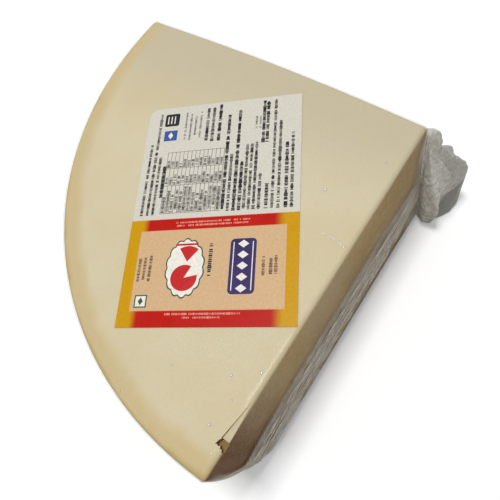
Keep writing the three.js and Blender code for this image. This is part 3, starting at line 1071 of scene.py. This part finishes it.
def on_label(across, along, lift):
    """A point above the label, `across` and `along` it from the corner of its coloured end."""
    p = cuts_meet + label_centre
    p = p + label_across * (across - label_width / 2) + label_along * (along - label_length / 2)
    return Vector((*p, label_bottom + lift))


def slab(name, outlines, low, high):
    """Flat pieces of paper or ink with the given outlines, from one height above the film to another."""
    shape = bmesh.new()
    for outline in outlines:
        bottom, top = ([shape.verts.new(on_label(*p, lift)) for p in outline] for lift in (low, high))
        shape.faces.new(bottom)
        shape.faces.new(top)
        for i in range(len(outline)):
            j = (i + 1) % len(outline)
            shape.faces.new((bottom[i], bottom[j], top[j], top[i]))
    bmesh.ops.recalc_face_normals(shape, faces=shape.faces[:])
    mesh = bpy.data.meshes.new(name)
    shape.to_mesh(mesh)
    shape.free()
    return mesh


round_centre = Vector((label_round, label_length - label_round))
label_outline = [
    Vector((0, 0)),
    Vector((label_width, 0)),
    Vector((label_width, label_length)),
    *arc(round_centre, label_round, math.pi / 2, math.pi, 10),
]
label_mesh = slab("label_paper", [label_outline], 0, paper_depth)

band_near = 9.1 / 145
band_far = 56.8 / 145
coloured_end = 64 / 145
side_left = 7.0 / 99
side_right = 92.2 / 99
fade_left = 12.2 / 99
fade_right = 84.9 / 99
ink_edge = 0.25 / 145
paper_white = paint(209, 203, 190)
ink_red = paint(184, 20, 6)
ink_yellow = paint(200, 148, 4)
ink_peach = paint(208, 172, 130)

label_finish, tree = new_finish("printed_label")
place = add_node(tree, "ShaderNodeTexCoord").outputs["Object"]
spread = add_node(tree, "ShaderNodeUVMap", uv_map="label")
sides = add_node(tree, "ShaderNodeSeparateXYZ", {0: spread.outputs[0]})
across, along = sides.outputs[0], sides.outputs[1]


def inside(value, low, high, edge):
    """1 between two places on the label and 0 beyond them."""
    enters = stretch(tree, value, low - edge, low + edge, ease="LINEAR")
    leaves = stretch(tree, value, high - edge, high + edge, 1.0, 0.0, ease="LINEAR")
    return reckon(tree, "MULTIPLY", enters, leaves)


redness = reckon(
    tree,
    "MULTIPLY",
    stretch(tree, across, side_left, fade_left),
    stretch(tree, across, fade_right, side_right, 1.0, 0.0),
)
field = reckon(
    tree,
    "MULTIPLY",
    inside(across, side_left, side_right, ink_edge),
    inside(along, band_near, band_far, ink_edge),
)
coloured = inside(along, -1.0, coloured_end, ink_edge)
ink = mix_colours(tree, redness, ink_yellow, ink_red)
ink = mix_colours(tree, field, ink, ink_peach)
fibres = stretch(tree, clouds(tree, place, 700.0, 5.0), 0.3, 0.7, 0.93, 1.03)
label_colour = mix_colours(tree, coloured, paper_white, ink)
greyed = add_node(tree, "ShaderNodeHueSaturation", {"Value": fibres, "Color": label_colour})
waves = clouds(tree, place, 35.0, 2.0)
bump = add_node(tree, "ShaderNodeBump", {"Strength": 0.3, "Distance": 0.3 * mm, "Height": waves})
gloss = stretch(tree, clouds(tree, place, 90.0), 0.3, 0.7, 0.30, 0.42)
paper = add_node(
    tree,
    "ShaderNodeBsdfPrincipled",
    {"Base Color": greyed.outputs[0], "Roughness": gloss, "Normal": bump.outputs[0]},
)
paper.inputs["Specular IOR Level"].default_value = 0.12
add_node(tree, "ShaderNodeOutputMaterial", {"Surface": paper.outputs[0]})

label_map = label_mesh.uv_layers.new(name="label")
for corner in label_mesh.loops:
    p = label_mesh.vertices[corner.vertex_index].co.xy - cuts_meet - label_centre
    label_map.data[corner.index].uv = (
        p.dot(label_across) / label_width + 0.5, p.dot(label_along) / label_length + 0.5
    )
add_piece("label_paper", label_mesh, label_finish, "label")


# The print: flat fields of ink on the label. A scalloped badge holds a red wheel with its wedge, a dark blue
# plate bears pale pips, and a small square, two blocks and a ruled table fill the rest.
ink_step = 0.03 * mm


def ink_finish(name, colour, gloss_low=0.32, gloss_high=0.45):
    """One ink: a little uneven in depth and gloss, as it lies on paper."""
    finish, tree = new_finish(name)
    place = add_node(tree, "ShaderNodeTexCoord").outputs["Object"]
    uneven = stretch(tree, clouds(tree, place, 500.0, 4.0), 0.3, 0.7, 0.9, 1.06)
    shade = add_node(tree, "ShaderNodeHueSaturation", {"Value": uneven, "Color": colour})
    gloss = stretch(tree, clouds(tree, place, 90.0), 0.3, 0.7, gloss_low, gloss_high)
    layer = add_node(tree, "ShaderNodeBsdfPrincipled", {"Base Color": shade.outputs[0], "Roughness": gloss})
    layer.inputs["Specular IOR Level"].default_value = 0.2
    add_node(tree, "ShaderNodeOutputMaterial", {"Surface": layer.outputs[0]})
    return finish


red_ink = ink_finish("red_ink", paint(192, 34, 34))
white_ink = ink_finish("white_ink", paint(232, 226, 214))
green_ink = ink_finish("green_ink", paint(44, 84, 62))
indigo_ink = ink_finish("indigo_ink", paint(52, 38, 92))
black_ink = ink_finish("black_ink", paint(44, 42, 42))
grey_ink = ink_finish("grey_ink", paint(84, 80, 76))
blue_ink = ink_finish("blue_ink", paint(58, 84, 150))
brown_ink = ink_finish("brown_ink", paint(104, 78, 60))
pale_ink = ink_finish("pale_ink", paint(226, 150, 132))


def block(across, along, width, length):
    """A rectangle, from its near left corner, in mm."""
    corners = [(0, 0), (width, 0), (width, length), (0, length)]
    return [Vector((across + x, along + y)) * mm for x, y in corners]


def scalloped(across, along, half_width, half_length, bulges, depth, steps=120):
    """An oval with a wavy edge, round a middle given in mm."""
    outline = []
    for i in range(steps):
        angle = 2 * math.pi * i / steps
        wave = 1 + depth * abs(math.sin(bulges * angle / 2))
        outline.append(Vector((
            across + half_width * wave * math.cos(angle), along + half_length * wave * math.sin(angle)
        )) * mm)
    return outline


def sector(across, along, radius, start, end, steps=40):
    """A slice of a disc, or a disc less a slice, in mm and degrees."""
    centre = Vector((across, along)) * mm
    rounded = arc(centre, radius * mm, math.radians(start), math.radians(end), steps)
    return [centre, *rounded]


def lozenge(across, along, half_width, half_length):
    points = [(half_width, 0), (0, half_length), (-half_width, 0), (0, -half_length)]
    return [Vector((across + x, along + y)) * mm for x, y in points]


def rounded_plate(across, along, width, length, radius):
    """A plate with round corners, from its near left corner, in mm."""
    outline = []
    for i, (x, y) in enumerate([(width - radius, radius), (width - radius, length - radius),
                                (radius, length - radius), (radius, radius)]):
        start = -math.pi / 2 + i * math.pi / 2
        centre = Vector((across + x, along + y)) * mm
        outline += arc(centre, radius * mm, start, start + math.pi / 2, 6)
    return outline


def add_print(name, outlines, finish, layer):
    """Ink in one colour; a higher layer lies on a lower one."""
    low = paper_depth - ink_step / 2
    mesh = slab(name, outlines, low, paper_depth + ink_step * layer)
    add_piece(name, mesh, finish, "label")


badge = (36.2, 33.5)
plate = (61.5, 17.5, 14.5, 32)
square = (9.2, 11, 7.2, 7.2)
pips = [(plate[0] + plate[2] / 2, plate[1] + plate[3] * (i + 0.5) / 5) for i in range(5)]
add_print("badge_edge", [scalloped(*badge, 10.6, 16.4, 14, 0.09)], green_ink, 1)
add_print("badge_ground", [scalloped(*badge, 9.9, 15.6, 14, 0.09)], white_ink, 2)
add_print("badge_wheel", [
    sector(badge[0], badge[1] - 6.0, 7.6, 60, 372),
    sector(badge[0] + 1.0, badge[1] + 3.4, 9.4, 50, 122),
    block(badge[0] - 6.6, badge[1] + 13.2, 13.2, 1.2),
], red_ink, 3)
add_print("plate_ground", [rounded_plate(*plate, 2.4)], indigo_ink, 1)
add_print("plate_pips", [
    *[lozenge(*pip, 3.1, 2.3) for pip in pips],
    block(plate[0] + 1.6, plate[1] + 2, 0.55, plate[3] - 4),
    block(plate[0] + plate[2] - 2.15, plate[1] + 2, 0.55, plate[3] - 4),
], white_ink, 2)
add_print("square_edge", [block(*square)], green_ink, 1)
add_print("square_ground", [block(square[0] + 0.7, square[1] + 0.7, 5.8, 5.8)], white_ink, 2)
add_print("square_leaf", [lozenge(square[0] + 3.6, square[1] + 3.6, 1.5, 2.2)], green_ink, 3)
add_print("black_block", [rounded_plate(11.4, 130.4, 9.6, 9.5, 1.2)], black_ink, 1)
add_print("black_block_lines", [block(13.2 + 2.2 * i, 132.2, 0.7, 5.8) for i in range(3)], white_ink, 2)
add_print("blue_block", [block(12.1, 119.3, 8.6, 7.6)], blue_ink, 1)
add_print("blue_block_drop", [lozenge(16.4, 123.1, 1.7, 2.6)], white_ink, 2)


# The small print and the table: rows of fine ticks stand where a label has its lines of words, and thin rules
# divide the table.
def tick_rule():
    """Along each path stand ticks a little apart; some are left out, as gaps between words."""
    tree, given = new_rule("tick_rows", {
        "Pitch": "Float", "Tick": "Vector", "Gaps": "Float", "Seed": "Int", "Finish": "Material",
    })
    curves = add_node(tree, "GeometryNodeMeshToCurve", {"Mesh": given["Paths"]})
    spots = add_node(tree, "GeometryNodeCurveToPoints", {
        "Curve": curves.outputs[0], "Length": given["Pitch"],
    }, mode="LENGTH")
    keep = add_node(tree, "FunctionNodeRandomValue", {"Seed": given["Seed"], 2: 0.0, 3: 1.0})
    kept = add_node(
        tree, "FunctionNodeCompare", {0: keep.outputs[1], 1: given["Gaps"]}, operation="GREATER_THAN"
    )
    grow = add_node(
        tree,
        "FunctionNodeRandomValue",
        {"Seed": reckon(tree, "ADD", given["Seed"], 1.0), 0: (0.6, 0.6, 1.0), 1: (1.5, 1.0, 1.0)},
        data_type="FLOAT_VECTOR",
    )
    tick = add_node(tree, "GeometryNodeMeshCube", {"Size": given["Tick"]})
    turned = add_node(
        tree, "FunctionNodeAlignRotationToVector", {"Vector": spots.outputs["Tangent"]}, axis="X"
    )
    ticks = add_node(tree, "GeometryNodeInstanceOnPoints", {
        "Points": spots.outputs[0],
        "Selection": kept.outputs[0],
        "Instance": tick.outputs[0],
        "Rotation": turned.outputs[0],
        "Scale": grow.outputs[0],
    })
    finish_rule(tree, ticks.outputs[0], given["Finish"])
    return tree


def ruled_line_rule():
    """Along each path runs a flat ruled line."""
    tree, given = new_rule("ruled_lines", {"Width": "Float", "Depth": "Float", "Finish": "Material"})
    curves = add_node(tree, "GeometryNodeMeshToCurve", {"Mesh": given["Paths"]})
    level = add_node(tree, "GeometryNodeSetCurveNormal", {"Curve": curves.outputs[0]}, mode="Z_UP")
    section = add_node(
        tree, "GeometryNodeCurvePrimitiveQuadrilateral", {"Width": given["Width"], "Height": given["Depth"]}
    )
    lines = add_node(
        tree,
        "GeometryNodeCurveToMesh",
        {"Curve": level.outputs[0], "Profile Curve": section.outputs[0], "Fill Caps": True},
    )
    finish_rule(tree, lines.outputs[0], given["Finish"])
    return tree


def straight_paths(rows):
    """Paths from rows of (across, along, across, along) in mm, in the middle of the ink's depth."""
    points, edges = [], []
    for x0, y0, x1, y1 in rows:
        points += [on_label(x0 * mm, y0 * mm, paper_depth), on_label(x1 * mm, y1 * mm, paper_depth)]
        edges.append((len(points) - 2, len(points) - 1))
    return points, edges


tick_rows = tick_rule()
ruled_lines = ruled_line_rule()


def add_ticks(name, rows, tick, pitch, gaps, seed, finish):
    """Rows of ticks of a width, height and depth in mm."""
    points, edges = straight_paths(rows)
    mesh = follow_rule(name, points, edges, tick_rows, {
        "Pitch": pitch * mm, "Tick": Vector(tick) * mm, "Gaps": gaps, "Seed": seed, "Finish": finish,
    })
    add_piece(name, mesh, finish, "label")


table_across = (16.7, 52.8)
table_along = (67.8, 110.2)
table_rows = 14
table_columns = [67.8, 86.5, 98.5, 110.2]
row_pitch = (table_across[1] - table_across[0]) / table_rows
row_lines = [table_across[0] + row_pitch * i for i in range(table_rows + 1)]

# Rows are (across, along, across, along) in mm; ticks are a width, a height and a depth in mm
draw = random.Random(31)
small_rows = [(u, 67.5, u, end) for u, end in (
    (5.0, 117), (8.7, 141), (12.0, 108), (57.6, 106), (67.0, 111), (69.8, 111), (72.6, 112), (75.6, 90),
    (83.2, 142), (86.7, 127), (94.2, 117),
)]
bold_rows = [(u, start, u, end) for u, start, end in (
    (15.6, 79, 100), (54.4, 69, 134), (61.0, 67.5, 137), (64.2, 67.5, 99), (79.8, 67.5, 83),
    (90.9, 67.5, 110), (40.2, 117.5, 141), (43.9, 116.5, 141), (48.2, 116.5, 143), (76.2, 112, 119),
    (78.6, 112, 119),
    (76.2, 121, 142), (78.6, 121, 142),
)]
grey_rows = [(u, start, u, end) for u, start, end in (
    (25.9, 119.5, 139.5), (29.1, 119, 139), (32.3, 122.5, 136), (35.6, 120, 139), (71.6, 122.5, 131),
    (74.0, 122.5, 131),
)]
table_words = []
for line in row_lines[:-1]:
    middle = line + row_pitch / 2
    for column, longest in zip(table_columns, (16, 7, 6)):
        table_words.append((middle, column + 1, middle, column + 1 + longest * draw.uniform(0.6, 1)))

add_ticks("small_print", small_rows, (0.62, 2.1, 0.05), 0.88, 0.08, 3, black_ink)
add_ticks("bold_print", bold_rows, (0.82, 2.4, 0.05), 0.98, 0.06, 4, black_ink)
add_ticks("grey_print", grey_rows, (0.55, 1.5, 0.05), 0.92, 0.10, 7, grey_ink)
add_ticks("table_words", table_words, (0.55, 2.0, 0.05), 0.80, 0.08, 5, grey_ink)
add_ticks("band_words", [
    (28, 7.2, 69, 7.2), (38, 5.2, 60, 5.2), (28, 61.3, 71, 61.3), (28, 59.3, 71, 59.3),
], (0.50, 1.3, 0.05), 0.85, 0.10, 6, pale_ink)
add_ticks("field_words", [
    (9.2, 26.5, 9.2, 40.5), (12.3, 27.5, 12.3, 40), (15.6, 26.5, 15.6, 41), (80.2, 28, 80.2, 38),
    (84.2, 28.5, 84.2, 38), (86.9, 28.5, 86.9, 38.5),
], (0.6, 2.0, 0.05), 0.88, 0.06, 8, brown_ink)
add_ticks("badge_words", [(50.4, 28.5, 50.4, 47)], (0.8, 2.6, 0.05), 1.15, 0.04, 9, black_ink)

table_lines = [(u, table_along[0], u, table_along[1]) for u in row_lines]
table_lines += [(table_across[0], v, table_across[1], v) for v in table_columns]
points, edges = straight_paths(table_lines)
mesh = follow_rule("table_rules", points, edges, ruled_lines, {
    "Width": 0.26 * mm, "Depth": 0.04 * mm, "Finish": grey_ink,
})
add_piece("table_rules", mesh, grey_ink, "label")
